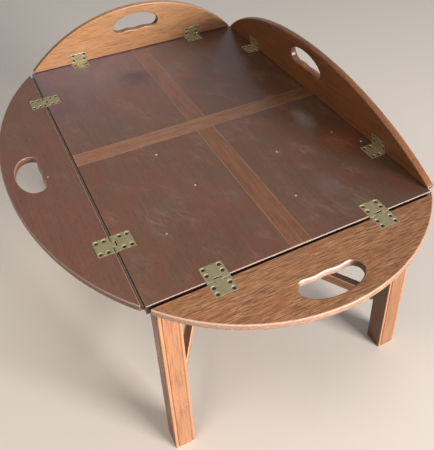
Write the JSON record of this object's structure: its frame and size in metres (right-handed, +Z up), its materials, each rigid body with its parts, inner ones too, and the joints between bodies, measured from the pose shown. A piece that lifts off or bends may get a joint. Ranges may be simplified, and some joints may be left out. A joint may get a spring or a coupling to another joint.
{
  "type": "butler tray table",
  "caption": "Butler tray table: a flat oblong tray with curved hinged leaves that fold up as sides, each with a handhold, lifting off a square-legged stand with crossed stretchers.",
  "frame": {"origin": "on the floor, under the middle of the box round the table with the left and front leaves flat and the back and right leaves raised", "axes": "+Z up; +X along the tray's short sides, to the right seen from the front; +Y along its long sides, from front to back"},
  "size_m": [0.6744, 0.9204, 0.5404],
  "materials": {
    "field_mahogany": "dark brown mahogany veneer, satin varnish, worn",
    "band_mahogany": "lighter reddish mahogany banding, satin varnish, worn",
    "leaf_mahogany": "straight-grained mahogany, satin varnish, worn",
    "stand_mahogany": "solid mahogany, satin varnish",
    "aged_brass": "dull, tarnished olive brass"
  },
  "bodies": {
    "stand": {"leg_front_left": "stand_mahogany", "leg_front_right": "stand_mahogany", "leg_back_left": "stand_mahogany", "leg_back_right": "stand_mahogany", "rail_front": "stand_mahogany", "rail_back": "stand_mahogany", "rail_left": "stand_mahogany", "rail_right": "stand_mahogany", "cross_stretcher_rising": "stand_mahogany", "cross_stretcher_falling": "stand_mahogany"},
    "tray": {"tray_board": "field_mahogany", "field_front_left": "field_mahogany", "field_front_right": "field_mahogany", "field_back_left": "field_mahogany", "field_back_right": "field_mahogany", "band_short": "band_mahogany", "band_long_front": "band_mahogany", "band_long_back": "band_mahogany", "batten_front": "stand_mahogany", "batten_back": "stand_mahogany", "hinge_left_back_tray_plate": "aged_brass", "hinge_left_back_pin": "aged_brass", "hinge_left_front_tray_plate": "aged_brass", "hinge_left_front_pin": "aged_brass", "hinge_front_left_tray_plate": "aged_brass", "hinge_front_left_pin": "aged_brass", "hinge_front_right_tray_plate": "aged_brass", "hinge_front_right_pin": "aged_brass", "hinge_back_right_tray_plate": "aged_brass", "hinge_back_right_pin": "aged_brass", "hinge_back_left_tray_plate": "aged_brass", "hinge_back_left_pin": "aged_brass", "hinge_right_front_tray_plate": "aged_brass", "hinge_right_front_pin": "aged_brass", "hinge_right_back_tray_plate": "aged_brass", "hinge_right_back_pin": "aged_brass"},
    "leaf_left": {"leaf_left": "leaf_mahogany", "hinge_left_back_leaf_plate": "aged_brass", "hinge_left_front_leaf_plate": "aged_brass"},
    "leaf_front": {"leaf_front": "leaf_mahogany", "hinge_front_left_leaf_plate": "aged_brass", "hinge_front_right_leaf_plate": "aged_brass"},
    "leaf_back": {"leaf_back": "leaf_mahogany", "hinge_back_right_leaf_plate": "aged_brass", "hinge_back_left_leaf_plate": "aged_brass"},
    "leaf_right": {"leaf_right": "leaf_mahogany", "hinge_right_front_leaf_plate": "aged_brass", "hinge_right_back_leaf_plate": "aged_brass"}
  },
  "joints": [
    {"name": "tray_lift", "type": "slide", "parent": "stand", "child": "tray", "axis": [0, 0, 1], "range_m": [0, 0.15]},
    {"name": "leaf_left_hinge", "type": "hinge", "parent": "tray", "child": "leaf_left", "pos_m": [-0.20673, 0.05907, 0.4106], "axis": [0, 1, 0], "range_deg": [0, 100]},
    {"name": "leaf_front_hinge", "type": "hinge", "parent": "tray", "child": "leaf_front", "pos_m": [0.05907, -0.32973, 0.4106], "axis": [-1, 0, 0], "range_deg": [0, 100]},
    {"name": "leaf_back_hinge", "type": "hinge", "parent": "tray", "child": "leaf_back", "pos_m": [0.05907, 0.44787, 0.4106], "axis": [1, 0, 0], "range_deg": [-100, 0]},
    {"name": "leaf_right_hinge", "type": "hinge", "parent": "tray", "child": "leaf_right", "pos_m": [0.32487, 0.05907, 0.4106], "axis": [0, -1, 0], "range_deg": [-100, 0]}
  ]
}
